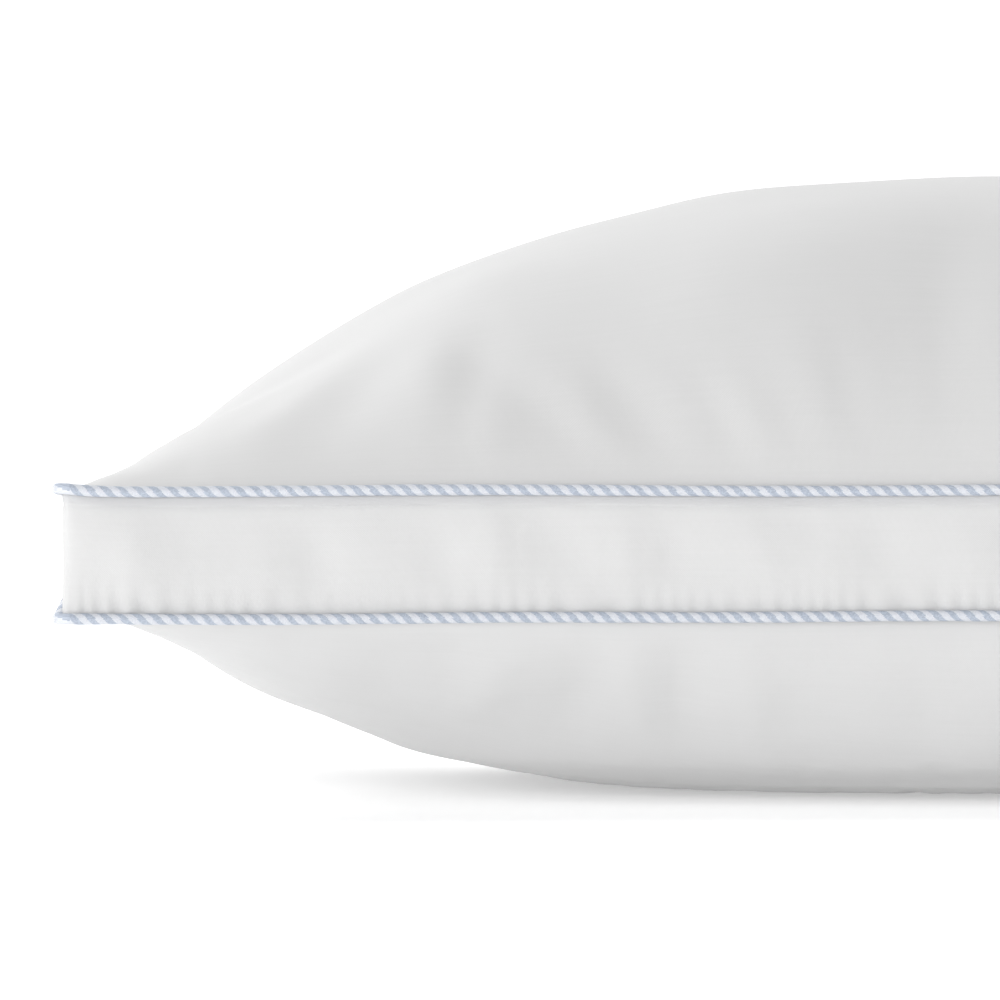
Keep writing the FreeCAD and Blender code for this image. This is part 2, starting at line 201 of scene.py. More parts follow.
def striped_cotton():
    """Yarn-dyed striped cotton, cut on the bias: blue-grey stripes on a cool white ground, whose
    edges step from yarn to yarn, and pale yarns showing through the blue."""
    material, tree, shader = new_material("bias_cut_striped_cotton")
    uv = add_node(tree, "ShaderNodeUVMap", uv_map="cloth").outputs["UV"]
    cells = add_node(tree, "ShaderNodeVectorMath", {0: uv, 1: (YARN_CELL, YARN_CELL, 1.0)},
                     operation="SNAP")
    split = add_node(tree, "ShaderNodeSeparateXYZ", {0: cells.outputs[0]})
    slanted = add_node(tree, "ShaderNodeMath", {0: split.outputs["Y"], 1: STRIPE_SLANT,
                                                2: split.outputs["X"]}, operation="MULTIPLY_ADD")
    turns = add_node(tree, "ShaderNodeMath", {0: slanted.outputs[0], 1: 1 / STRIPE_PITCH},
                     operation="MULTIPLY")
    place = add_node(tree, "ShaderNodeMath", {0: turns.outputs[0]}, operation="FRACT")
    blue = add_node(tree, "ShaderNodeMath", {0: place.outputs[0], 1: STRIPE_SHARE},
                    operation="LESS_THAN")
    speck = add_node(tree, "ShaderNodeTexWhiteNoise", {"Vector": cells.outputs[0]},
                     noise_dimensions="2D")
    pale = add_node(tree, "ShaderNodeMix", {"Factor": speck.outputs["Value"],
                                            "A": linear("#cacdd4"), "B": linear("#d6d9de")},
                    data_type="RGBA")
    dark = add_node(tree, "ShaderNodeMix", {"Factor": speck.outputs["Value"],
                                            "A": linear("#a1a9b7"), "B": linear("#b7bfcc")},
                    data_type="RGBA")
    stripe = add_node(tree, "ShaderNodeMix", {"Factor": blue.outputs[0],
                                              "A": pale.outputs["Result"],
                                              "B": dark.outputs["Result"]}, data_type="RGBA")
    tree.links.new(stripe.outputs["Result"], shader.inputs["Base Color"])
    weave = woven_height(tree, uv, YARN_CELL * 2)
    bump = add_node(tree, "ShaderNodeBump", {"Height": weave, "Strength": 0.5, "Distance": 0.00015})
    tree.links.new(bump.outputs[0], shader.inputs["Normal"])
    shader.inputs["Roughness"].default_value = 0.8
    shader.inputs["Specular IOR Level"].default_value = 0.3
    shader.inputs["Sheen Weight"].default_value = 0.1
    return material


def twisted_yarn(name, colour, shade, pitch):
    """Plied yarn seen close: slanted strands of two tones, from a wave across the cord."""
    material, tree, shader = new_material(name)
    coords = add_node(tree, "ShaderNodeTexCoord").outputs["Object"]
    strands = add_node(tree, "ShaderNodeTexWave", {"Vector": coords, "Scale": 1 / pitch,
                                                   "Distortion": 1.5}, bands_direction="DIAGONAL")
    tint = add_node(tree, "ShaderNodeMix", {"Factor": strands.outputs["Fac"], "A": linear(shade),
                                            "B": linear(colour)}, data_type="RGBA")
    tree.links.new(tint.outputs["Result"], shader.inputs["Base Color"])
    bump = add_node(tree, "ShaderNodeBump", {"Height": strands.outputs["Fac"], "Strength": 0.4,
                                             "Distance": 0.0002})
    tree.links.new(bump.outputs[0], shader.inputs["Normal"])
    shader.inputs["Roughness"].default_value = 0.9
    return material


def lofted_fibre():
    """Polyester fibrefill: a tangle of fine crimped fibres, from fine noise over soft clumps."""
    material, tree, shader = new_material("polyester_fibrefill")
    coords = add_node(tree, "ShaderNodeTexCoord").outputs["Object"]
    clumps = add_node(tree, "ShaderNodeTexNoise", {"Vector": coords, "Scale": 30.0, "Detail": 8.0,
                                                   "Distortion": 1.2})
    tint = add_node(tree, "ShaderNodeMix", {"Factor": clumps.outputs["Fac"], "A": linear("#dcdcdc"),
                                            "B": linear("#f4f4f4")}, data_type="RGBA")
    tree.links.new(tint.outputs["Result"], shader.inputs["Base Color"])
    bump = add_node(tree, "ShaderNodeBump", {"Height": clumps.outputs["Fac"], "Strength": 0.8,
                                             "Distance": 0.003})
    tree.links.new(bump.outputs[0], shader.inputs["Normal"])
    shader.inputs["Roughness"].default_value = 0.95
    return material


def satin_tape():
    """Satin-woven label tape: close lengthwise floats, so it shines a little across them."""
    material, tree, shader = new_material("blank_satin_tape")
    uv = add_node(tree, "ShaderNodeUVMap", uv_map="cloth").outputs["UV"]
    ribs = add_node(tree, "ShaderNodeTexWave", {"Vector": uv, "Scale": 0.7, "Distortion": 0.3},
                    bands_direction="X")
    tint = add_node(tree, "ShaderNodeMix", {"Factor": ribs.outputs["Fac"], "A": linear("#e4e4e2"),
                                            "B": linear("#f0f0ee")}, data_type="RGBA")
    tree.links.new(tint.outputs["Result"], shader.inputs["Base Color"])
    bump = add_node(tree, "ShaderNodeBump", {"Height": ribs.outputs["Fac"], "Strength": 0.3,
                                             "Distance": 0.0001})
    tree.links.new(bump.outputs[0], shader.inputs["Normal"])
    shader.inputs["Roughness"].default_value = 0.45
    return material


# ---------------------------------------------------------------- the seam line

def bow_radius(half_chord, depth):
    """Radius of the circle through two ends and a middle drawn in by the depth."""
    return (half_chord ** 2 + depth ** 2) / (2 * depth)


SIDE_RADIUS = bow_radius(CORNER_X, SIDE_BOW)
END_RADIUS = bow_radius(CORNER_Y, END_BOW)


def seam_segments():
    """The seam line in plan as eight arcs, anticlockwise from the left end of the front side.

    Each is (centre, radius, first angle, swept angle). The four sides lie on large circles centred
    outside the pillow, and each corner is a small arc that touches the two sides beside it.
    """
    side_centre = CORNER_Y - SIDE_BOW + SIDE_RADIUS
    end_centre = CORNER_X - END_BOW + END_RADIUS
    # Centre of a corner's arc: as far from both large circles as the corner's radius.
    reach_side, reach_end = SIDE_RADIUS + CORNER_ROUND, END_RADIUS + CORNER_ROUND
    span = math.hypot(side_centre, end_centre)
    along = (span ** 2 + reach_side ** 2 - reach_end ** 2) / (2 * span)
    across = math.sqrt(reach_side ** 2 - along ** 2)
    unit = np.array([end_centre, -side_centre]) / span
    foot = np.array([0.0, side_centre]) + unit * along
    candidates = [foot + across * np.array([-unit[1], unit[0]]),
                  foot - across * np.array([-unit[1], unit[0]])]
    corner = min(candidates, key=lambda p: abs(p[0] - CORNER_X) + abs(p[1] - CORNER_Y))
    side_half = math.atan2(corner[0], side_centre - corner[1])
    end_half = math.atan2(corner[1], end_centre - corner[0])
    turn = math.pi / 2 + side_half + end_half
    segments = []
    for quarter, (sign_x, sign_y) in enumerate([(1, -1), (1, 1), (-1, 1), (-1, -1)]):
        if quarter % 2 == 0:
            centre = np.array([0.0, side_centre * sign_y])
            radius, half, facing = SIDE_RADIUS, side_half, -sign_y * math.pi / 2
        else:
            centre = np.array([end_centre * sign_x, 0.0])
            radius, half, facing = END_RADIUS, end_half, math.pi * (sign_x > 0)
        segments.append((centre, radius, facing + half, -2 * half))
        start = facing - half + math.pi
        segments.append((corner * np.array([sign_x, sign_y]), CORNER_ROUND, start, turn))
    return segments


SEGMENTS = seam_segments()
SEGMENT_LENGTHS = np.array([radius * abs(sweep) for _, radius, _, sweep in SEGMENTS])
SEGMENT_ENDS = np.cumsum(SEGMENT_LENGTHS)
SEAM_LENGTH = SEGMENT_ENDS[-1]


def seam_line(distance):
    """Points and outward normals of the seam line at distances along it."""
    distance = np.asarray(distance) % SEAM_LENGTH
    index = np.minimum(np.searchsorted(SEGMENT_ENDS, distance, side="right"), len(SEGMENTS) - 1)
    part = (distance - (SEGMENT_ENDS - SEGMENT_LENGTHS)[index]) / SEGMENT_LENGTHS[index]
    centre = np.array([s[0] for s in SEGMENTS])[index]
    radius = np.array([s[1] for s in SEGMENTS])[index]
    first = np.array([s[2] for s in SEGMENTS])[index]
    sweep = np.array([s[3] for s in SEGMENTS])[index]
    angle = first + sweep * part
    ray = np.stack([np.cos(angle), np.sin(angle)], -1)
    return centre + ray * radius[:, None], ray * np.sign(sweep)[:, None]


def step(value, start, end):
    """Smooth step: 0 up to the start, 1 from the end on, and eased between them."""
    part = np.clip((value - start) / (end - start), 0, 1)
    return part * part * (3 - 2 * part)


FRONT_CORNER_RISE, BACK_CORNER_DROP = 1.6 * MM, 1.4 * MM
CORNER_REACH = 9 * MM
END_CLIMB = 7 * MM  # how much higher the lower seam runs along the short ends


def upper_lift(x, y):
    """How far the upper seam stands above its even level: its front corners turn up a little and
    its back ones down, dying away with the distance from the corner, and it wanders by slow
    waves."""
    corner = np.hypot(np.abs(x) - CORNER_X, np.abs(y) - CORNER_Y)
    wander = np.sin(x / (37 * MM) + 0.8) + 0.7 * np.sin(y / (31 * MM) + x / (61 * MM))
    turned = np.where(y < 0, FRONT_CORNER_RISE, -BACK_CORNER_DROP)
    return turned * np.exp(-corner / CORNER_REACH) + 0.22 * MM * wander


def lower_lift(x, y):
    """How far the lower seam stands above its even level: past each corner it climbs along the
    short ends, and it wanders gently."""
    from_corner = CORNER_Y - np.abs(y)
    past = from_corner - 0.35 * (CORNER_X - np.abs(x))
    wander = np.sin(x / (29 * MM) + 2.1) + 0.7 * np.sin(y / (35 * MM) - x / (53 * MM))
    return END_CLIMB * step(past, 1 * MM, 16 * MM) + 0.25 * MM * wander


# ---------------------------------------------------------------- domed panels

EAR_FLATNESS = 0.03


def swell(s, t, powers):
    """Height of a dome over its seam, from 1 at the crown to 0 at the seam: (1 - |s|^p)^a along
    the length times (1 - |t|^q)^b across the width, flattened where it is lowest so that the
    corners lie flat like ears."""
    p, a, q, b = powers
    dome = (np.clip(1 - np.abs(s) ** p, 0, 1) ** a) * (np.clip(1 - np.abs(t) ** q, 0, 1) ** b)
    top = math.hypot(1, EAR_FLATNESS) - EAR_FLATNESS
    return (np.hypot(dome, EAR_FLATNESS) - EAR_FLATNESS) / top


def plan(s, t, inset):
    """Plan place of a panel point: s and t run from -1 to 1 between bowed seams, and the very
    corners are drawn in to the corner's rounding."""
    half_x, half_y = CORNER_X - inset, CORNER_Y - inset
    nip = 1 - 0.0105 * np.abs(s * t) ** 70
    x = s * (half_x - END_BOW + END_BOW * t ** 2) * nip
    y = t * (half_y - SIDE_BOW + SIDE_BOW * s ** 2) * nip
    return x, y


FINE = 801  # samples along a curve when its length is measured


def even_along(heights, spans):
    """For each row of a family of curves over a fine parameter, the length along the curve from
    its start, scaled to 0..1."""
    steps = np.hypot(np.diff(heights, axis=1), np.diff(spans, axis=1))
    lengths = np.concatenate([np.zeros((len(steps), 1)), np.cumsum(steps, axis=1)], axis=1)
    return lengths / lengths[:, -1:]


def dome_grid(columns, rows, rise, powers, inset):
    """A panel as a grid of cloth points, evenly spaced along the cloth in both directions.

    Every lengthwise and crosswise curve of the dome is measured along its own length, and its
    parameter is read back at even shares of that length.
    """
    u, v = np.linspace(-1, 1, columns), np.linspace(-1, 1, rows)
    fine = np.sin(np.linspace(-math.pi / 2, math.pi / 2, FINE))
    s_fine, t_row = np.meshgrid(fine, v)
    x_fine, _ = plan(s_fine, t_row, inset)
    shares = even_along(rise * swell(s_fine, t_row, powers), x_fine)
    s = np.array([np.interp((u + 1) / 2, row, fine) for row in shares]).T
    t_fine, s_column = np.meshgrid(fine, u)
    _, y_fine = plan(s_column, t_fine, inset)
    shares = even_along(rise * swell(s_column, t_fine, powers), y_fine)
    t = np.array([np.interp((v + 1) / 2, row, fine) for row in shares])
    x, y = plan(s, t, inset)
    cut = np.stack(np.meshgrid(u * CUT_LENGTH / 2, v * CUT_WIDTH / 2, indexing="ij"), -1)
    inward = np.minimum((1 - np.abs(s)) * CORNER_X, (1 - np.abs(t)) * CORNER_Y)
    return np.stack([x, y, rise * swell(s, t, powers)], -1), cut, inward


# ---------------------------------------------------------------- cloth simulation

POINT_MASS = 0.002   # of each point of the cloth, light enough to settle in a second or so
STIFFNESS = 40.0     # against stretching and squeezing, the same for every piece
SHEAR_SHARE = 0.15   # of that, against slanting: woven cloth slants easily
DAMPING = 0.3
# The furthest that any point of a piece may settle from where it starts.
TOP_CAP, BASE_CAP, STRIP_CAP = 6 * MM, 5 * MM, 0.9 * MM


def relax_cloth(points, faces, rest, pinned, pressure, frames, bending, floor=False):
    """Lets a sheet of cloth settle under the filling's pressure, with its sewn edges held.

    points are where the cloth starts, rest is the shape that it was cut to, and pinned marks the
    sewn points. Gravity is off, because the filling carries the cloth.
    """
    sheet = mesh_object("settling_cloth", points, faces)
    mesh = sheet.data
    group = sheet.vertex_groups.new(name="sewn")
    group.add(np.flatnonzero(pinned.ravel()).tolist(), 1.0, "REPLACE")
    sheet.shape_key_add(name="Basis")
    cut = sheet.shape_key_add(name="cut")
    cut.data.foreach_set("co", rest.reshape(-1, 3).ravel())
    cut.value = 0.0
    cloth = sheet.modifiers.new("cloth", "CLOTH")
    settings = cloth.settings
    settings.quality = 6
    settings.mass = POINT_MASS
    settings.tension_stiffness = STIFFNESS
    settings.compression_stiffness = STIFFNESS
    settings.shear_stiffness = STIFFNESS * SHEAR_SHARE
    settings.bending_stiffness = bending
    settings.tension_damping = DAMPING
    settings.compression_damping = DAMPING
    settings.shear_damping = DAMPING
    settings.bending_damping = 0.1
    settings.air_damping = 1
    settings.vertex_group_mass = "sewn"
    settings.rest_shape_key = mesh.shape_keys.key_blocks["cut"]
    settings.use_pressure = True
    settings.uniform_pressure_force = pressure
    settings.use_pressure_volume = True
    settings.target_volume = 0.0
    settings.effector_weights.gravity = 0.0
    cloth.collision_settings.use_self_collision = False
    cloth.collision_settings.use_collision = floor
    cloth.collision_settings.distance_min = 0.001
    cloth.point_cache.frame_start, cloth.point_cache.frame_end = 1, frames
    slab = None
    if floor:
        corners = np.array([[-1, -1, 0], [1, -1, 0], [1, 1, 0], [-1, 1, 0]], float)
        slab = mesh_object("settling_floor", corners, np.array([[0, 1, 2, 3]]))
        slab.modifiers.new("collision", "COLLISION")
    scene = bpy.context.scene
    for number in range(1, frames + 1):
        scene.frame_set(number)
    graph = bpy.context.evaluated_depsgraph_get()
    settled = sheet.evaluated_get(graph).data
    found = np.zeros(len(mesh.vertices) * 3, np.float32)
    settled.vertices.foreach_get("co", found)
    for spent in filter(None, (sheet, slab)):
        used = spent.data
        bpy.data.objects.remove(spent)
        bpy.data.meshes.remove(used)
    scene.frame_set(1)
    return found.reshape(points.shape).astype(float)


def soften(field, reach):
    """A grid averaged over a window of the given reach in both directions, twice."""
    for _ in range(2):
        for axis in (0, 1):
            pads = [(0, 0)] * field.ndim
            pads[axis] = (reach + 1, reach)
            total = np.cumsum(np.pad(field, pads, mode="edge"), axis=axis)
            size = field.shape[axis]
            high = np.take(total, np.arange(size) + 2 * reach + 1, axis=axis)
            low = np.take(total, np.arange(size), axis=axis)
            field = (high - low) / (2 * reach + 1)
    return field


def cap_move(start, moved, most, drift_reach, drift_kept):
    """Keeps the settled cloth's folds and dimples but only part of its slow drift from the
    start, and lets no point move further than the cap."""
    move = moved - start
    drift = soften(move, drift_reach)
    move = move - drift * (1 - drift_kept)
    size = np.linalg.norm(move, axis=-1, keepdims=True)
    return start + move * np.minimum(1, most / np.maximum(size, 1e-9))


def edge_mask(columns, rows):
    """True on the rim of a grid."""
    mask = np.zeros((columns, rows), bool)
    mask[[0, -1], :] = True
    mask[:, [0, -1]] = True
    return mask


def surface_normals(points):
    """Unit normals of a grid of points, from the cross product of its two directions."""
    across = np.cross(np.gradient(points, axis=0), np.gradient(points, axis=1))
    return across / np.maximum(np.linalg.norm(across, axis=-1, keepdims=True), 1e-12)


def lumps(x, y, seed, wave, amount):
    """Soft unevenness of the filling: the sum of 24 waves in random directions, of about the
    given wavelength."""
    rng = np.random.default_rng(seed)
    total = np.zeros_like(x)
    for _ in range(24):
        turn, phase = rng.uniform(0, 2 * math.pi, 2)
        number = 2 * math.pi / (wave * rng.uniform(0.7, 1.6))
        total += np.cos(number * (x * math.cos(turn) + y * math.sin(turn)) + phase)
    return amount * total / math.sqrt(12)


def folds(x, y, rows):
    """Soft creases: each row is the middle's x and y in mm, the direction in degrees, the length,
    the width and the height in mm (a dip when below zero), as a bell along and across."""
    total = np.zeros_like(x)
    for mid_x, mid_y, degrees, length, width, height in rows:
        turn = math.radians(degrees)
        dx, dy = x / MM - mid_x, y / MM - mid_y
        along = dx * math.cos(turn) + dy * math.sin(turn)
        across = dy * math.cos(turn) - dx * math.sin(turn)
        total += height * np.exp(-((2 * along / length) ** 2) - (2 * across / width) ** 2)
    return total * MM


def seam_gathers(seed, count, length, width, height):
    """Fold rows that start at the seam all round and run inwards, evenly strewn by a seed."""
    rng = np.random.default_rng(seed)
    along = (np.arange(count) + rng.uniform(-0.4, 0.4, count)) * SEAM_LENGTH / count
    places, outward = seam_line(along)
    rows = []
    for place, normal in zip(places, outward):
        reach = length * rng.uniform(0.5, 1.3)
        middle = place / MM - normal * reach * 0.45
        slant = math.degrees(math.atan2(normal[1], normal[0])) + rng.uniform(-16, 16)
        rows.append((middle[0], middle[1], slant, reach, width * rng.uniform(0.6, 1.4),
                     height * rng.uniform(-1, 1)))
    return rows


# Creases in the top panel, near the corner that is most drawn in, then across the front.
TOP_FOLDS = [
    (-230, -166, 88, 56, 24, 1.9), (-212, -174, 84, 50, 20, -1.6), (-188, -182, 140, 78, 22, -1.8),
    (-166, -192, 142, 60, 16, 1.4), (-206, -198, 100, 36, 16, 0.9), (-148, -186, 132, 60, 18, -1.4),
    (-262, -176, 70, 60, 24, -1.4), (-286, -168, 60, 66, 22, 1.5), (-112, -190, 128, 44, 14, -1.0),
    (-98, -194, 128, 40, 12, 0.8), (-84, -190, 120, 40, 14, -0.8), (-118, -140, 80, 110, 40, 0.8),
    (-302, -120, 20, 90, 30, -2.2), (-250, -60, 8, 120, 34, 1.6), (-20, -150, 80, 80, 26, -1.0),
    (240, -170, 100, 80, 20, -2.0), (276, -160, 118, 70, 18, 1.8), (300, 120, 20, 90, 26, -2.0),
    (-210, 170, 96, 70, 20, 1.8), (-260, 160, 112, 70, 18, -2.0), (120, 176, 84, 70, 24, -1.4),
]


# The powers of each dome's formula, in the order that swell takes them.
TOP_POWERS = (2.25, 0.80, 2.2, 0.72)
BASE_POWERS = (1.3, 0.61, 2.2, 0.70)
# How deep the belly would hang below its seam if the floor didn't flatten it.
BASE_DROP = 111 * MM
FLOOR_GAP = 0.3 * MM
PANEL_COLUMNS, PANEL_ROWS = 127, 85


def finish_cloth(piece, levels):
    """Gives a cloth surface its thickness, inwards, and rounds it between its points."""
    thick = piece.modifiers.new("thickness", "SOLIDIFY")
    thick.thickness = CLOTH
    thick.offset = -1
    smooth = piece.modifiers.new("smooth", "SUBSURF")
    smooth.levels = smooth.render_levels = levels
    return piece


def top_panel_cloth():
    """The top panel: a dome made uneven by the filling's lumps, then settled, then creased near
    its seams."""
    level = UPPER_SEAM + TUCK
    points, cut, inward = dome_grid(PANEL_COLUMNS, PANEL_ROWS, CROWN - level, TOP_POWERS, -TUCK)
    x, y = points[..., 0], points[..., 1]
    points[..., 2] += level + upper_lift(x, y) * np.exp(-inward / (25 * MM))
    free = step(inward, 0, SEWN_MARGIN)
    uneven = lumps(x, y, 5, 150 * MM, 1.3 * MM) + lumps(x, y, 6, 60 * MM, 0.45 * MM)
    creases = folds(x, y, TOP_FOLDS + seam_gathers(8, 70, 44, 12, 1.1))
    points += surface_normals(points) * (uneven * free)[..., None]
    faces = grid_faces(PANEL_COLUMNS, PANEL_ROWS)
    rest = points * np.array([1.012, 1.016, 1.012])
    moved = relax_cloth(points, faces, rest, edge_mask(PANEL_COLUMNS, PANEL_ROWS),
                        pressure=60.0, frames=36, bending=0.4)
    points = cap_move(points, moved, TOP_CAP, 6, 0.0)
    points += surface_normals(points) * (creases * free)[..., None]
    return mesh_object("top_panel_cloth", points, faces, cut / MM)


BASE_FOLDS = [
    (-170, -186, 100, 50, 18, -2.0), (-146, -182, 78, 50, 16, 2.1), (-128, -184, 84, 44, 14, -1.7),
    (-206, -182, 112, 56, 22, 1.9), (-250, -180, 96, 60, 26, -1.7), (-100, -180, 70, 50, 20, 1.5),
    (150, -172, 84, 70, 20, 1.3), (230, -168, 110, 70, 22, -1.3), (-180, 170, 96, 60, 20, -1.4),
]


def bottom_panel_cloth():
    """The bottom panel, made like the top one but hung downwards, and pressed flat where the
    pillow rests."""
    level = LOWER_SEAM - TUCK
    points, cut, inward = dome_grid(PANEL_COLUMNS, PANEL_ROWS, BASE_DROP, BASE_POWERS, -TUCK)
    x, y = points[..., 0], points[..., 1]
    height = level - points[..., 2] + lower_lift(x, y) * np.exp(-inward / (30 * MM))
    points[..., 2] = np.maximum(height, 0.0)
    free = step(inward, 0, SEWN_MARGIN) * step(points[..., 2], 0, 20 * MM)
    uneven = lumps(x, y, 15, 150 * MM, 1.0 * MM) + lumps(x, y, 16, 60 * MM, 0.4 * MM)
    creases = folds(x, y, BASE_FOLDS + seam_gathers(18, 70, 36, 11, 1.0))
    points -= surface_normals(points) * (uneven * free)[..., None]
    points[..., 2] = np.maximum(points[..., 2], FLOOR_GAP)
    faces = grid_faces(PANEL_COLUMNS, PANEL_ROWS, flip=True)
    rest = points * np.array([1.012, 1.012, 1.0])
    moved = relax_cloth(points, faces, rest, edge_mask(PANEL_COLUMNS, PANEL_ROWS),
                        pressure=60.0, frames=30, bending=0.3, floor=True)
    points = cap_move(points, moved, BASE_CAP, 6, 0.0)
    points -= surface_normals(points) * (creases * free)[..., None]
    points[..., 2] = np.maximum(points[..., 2], FLOOR_GAP)
    return mesh_object("bottom_panel_cloth", points, faces, cut / MM)


# ---------------------------------------------------------------- gusset and piping

STRIP_STEP = 2.3 * MM
# Heights of the strip's rows over the lower seam, in mm: closer where it is gathered and where
# the seam's turned-in layers end.
STRIP_HEIGHTS = np.array([0, 1.2, 2.5, 4, 6, 8.5, 11, 14, 17, 20.5, 24, 28, 32, 36, 40, 43, 45,
                          45.9, 46.6, 47.8, 49.5, 51])
STRIP_UP = STRIP_HEIGHTS / STRIP_HEIGHTS[-1]
GATHER = 0.03          # extra cloth eased onto the lower piping, as a share of its length
LAYERS_EDGE = 45.9     # mm up the strip, where the turned-in layers behind it end
PUCKER_HEIGHT = 3.2 * MM
PUCKER_REACH = 8.0     # mm up the strip over which the puckers die away
# Where the gathers are tightest: the x of each stretch's middle and its half width, in mm.
TIGHT_STRETCHES = ((-362, 24), (-257, 34))


def pucker_wave(along):
    """Gathers along the lower seam: sharp-topped ridges 6 to 11 mm apart, from the seam's length
    warped by slow waves, and taller on some stretches than on others."""
    mm = along / MM
    warp = 5.5 * np.sin(mm / 23 + 0.5) + 3.5 * np.sin(mm / 9.7) + 7 * np.sin(mm / 71)
    ridge = np.abs(np.cos(math.pi * (mm + warp) / 8.4)) ** 1.6
    stretch = 0.55 + 0.45 * np.sin(mm / 34 + 1.2) * np.sin(mm / 83)
    return (ridge - 0.4) * np.clip(stretch, 0.12, 1)


def strip_grid(first, last):
    """A length of the gusset, from one distance along the seam to another, as a grid of points
    from the lower seam to the upper one. How far it stands out is half a sine wave up the strip,
    plus the puckers, slow lumps, and a shallow groove where the turned-in layers end."""
    count = int(round((last - first) / STRIP_STEP)) + 1
    along = np.linspace(first, last, count)
    up, mm = STRIP_UP, STRIP_HEIGHTS
    places, outward = seam_line(along)
    low = LOWER_SEAM + TUCK + lower_lift(places[:, 0], places[:, 1])
    high = UPPER_SEAM - TUCK + upper_lift(places[:, 0], places[:, 1])
    bulge = TUCK + 1.3 * MM * np.sin(math.pi * up)
    # Under the upper piping the turned-in layers push the strip out a little, above a groove.
    layers = 0.3 * MM * np.clip((mm - 46.2) / 3.8, 0, 1)
    layers = layers - 0.6 * MM * np.exp(-((mm - LAYERS_EDGE) / 0.7) ** 2)
    fade = np.exp(-((mm / PUCKER_REACH) ** 1.5)) * step(mm, -1.0, 1.8)
    tight = 0.7
    for middle, half_width in TIGHT_STRETCHES:
        tight = tight + 0.9 * np.exp(-((places[:, 0] / MM - middle) / half_width) ** 2)
    puckers = PUCKER_HEIGHT * (pucker_wave(along) * tight)[:, None] * fade[None]
    long_fade = np.sin(math.pi * up) ** 1.2
    z = low[:, None] + (high - low)[:, None] * up
    slow = lumps(np.repeat(along[:, None], len(up), 1), z * 0.45, 31, 38 * MM, 1.0 * MM)
    out = (bulge + layers * step(mm, 40, 46))[None] + puckers + slow * long_fade[None]
    out[:, [0, -1]] = TUCK
    xy = places[:, None, :] + outward[:, None, :] * out[..., None]
    uv = np.stack(np.meshgrid(along, mm * MM, indexing="ij"), -1)
    return np.concatenate([xy, z[..., None]], -1), uv


def gusset_cloth(name, first, last):
    """One of the gusset's two strips, puckered where it is gathered onto the lower piping."""
    points, uv = strip_grid(first, last)
    faces = grid_faces(*points.shape[:2])
    gather = 1 + GATHER * (0.15 + 0.85 * (1 - STRIP_UP) ** 2)
    rest = points * np.stack([gather, gather, np.ones_like(gather)], -1)[None]
    moved = relax_cloth(points, faces, rest, edge_mask(*points.shape[:2]), pressure=120.0,
                        frames=24, bending=0.005)
    moved = points + soften(moved - points, 1)
    points = cap_move(points, moved, STRIP_CAP, 4, 0.4)
    return mesh_object(name, points, faces, uv / MM)


def bead_tube(name, level, lift, radii, around, offset=BEAD_OFFSET):
    """A round section carried along the seam line at the piping's place, with its own measure:
    along the seam, and round the bead from its outermost line."""
    count = len(radii)
    along = np.linspace(0, SEAM_LENGTH, count, endpoint=False)
    places, outward = seam_line(along)
    ring = np.linspace(0, 2 * math.pi, around, endpoint=False)
    reach = offset + radii[:, None] * np.cos(ring)
    xy = places[:, None, :] + outward[:, None, :] * reach[..., None]
    z = (level + lift(places[:, 0], places[:, 1]))[:, None] + radii[:, None] * np.sin(ring)
    faces = grid_faces(count, around, wrap_rows=True, wrap_columns=True)
    tube = mesh_object(name, np.concatenate([xy, z[..., None]], -1), faces)
    rows, columns = faces // around, faces % around
    u = along[rows]
    u = np.where((rows == 0) & (rows.max(1, keepdims=True) == count - 1), SEAM_LENGTH, u)
    v = ring[columns]
    v = np.where((columns == 0) & (columns.max(1, keepdims=True) == around - 1), 2 * math.pi, v)
    layer = tube.data.uv_layers.new(name="cloth")
    layer.data.foreach_set("uv", (np.stack([u, v * BEAD_RADIUS], -1) / MM).ravel())
    return tube


PIPING_POINTS = 1600
# The cover's ends are lapped at the back, so the bead is fatter there.
LAP_SHARE = 0.63
CORD_RADIUS, THREAD_RADIUS = 1.3 * MM, 0.2 * MM
CORD_POINTS = 800
THREAD_SETBACK = 7 * MM  # how far inside the seam the threads lie


def piping_cover(name, level, lift):
    """Corded piping's striped cover, a little uneven, and fatter where its ends are lapped."""
    along = np.linspace(0, SEAM_LENGTH, PIPING_POINTS, endpoint=False)
    lap = np.exp(-((along - SEAM_LENGTH * LAP_SHARE) / (14 * MM)) ** 2)
    uneven = 0.025 * np.sin(along / (4.1 * MM)) + 0.02 * np.sin(along / (11 * MM) + 1)
    return bead_tube(name, level, lift, BEAD_RADIUS * (1 + 0.15 * lap + uneven), 20)


def piping_cord(name, level, lift):
    """The filler cord inside a piping cover."""
    return bead_tube(name, level, lift, np.full(CORD_POINTS, CORD_RADIUS), 10)


def seam_thread(name, level, lift):
    """The seam's two threads, laid along the turned-in layers one over the other."""
    radii = np.full(CORD_POINTS, THREAD_RADIUS)
    pair = [bead_tube(name, level + side * 1.1 * THREAD_RADIUS, lift, radii, 6, -THREAD_SETBACK)
            for side in (1, -1)]
    with bpy.context.temp_override(active_object=pair[0], selected_editable_objects=pair):
        bpy.ops.object.join()
    return pair[0]


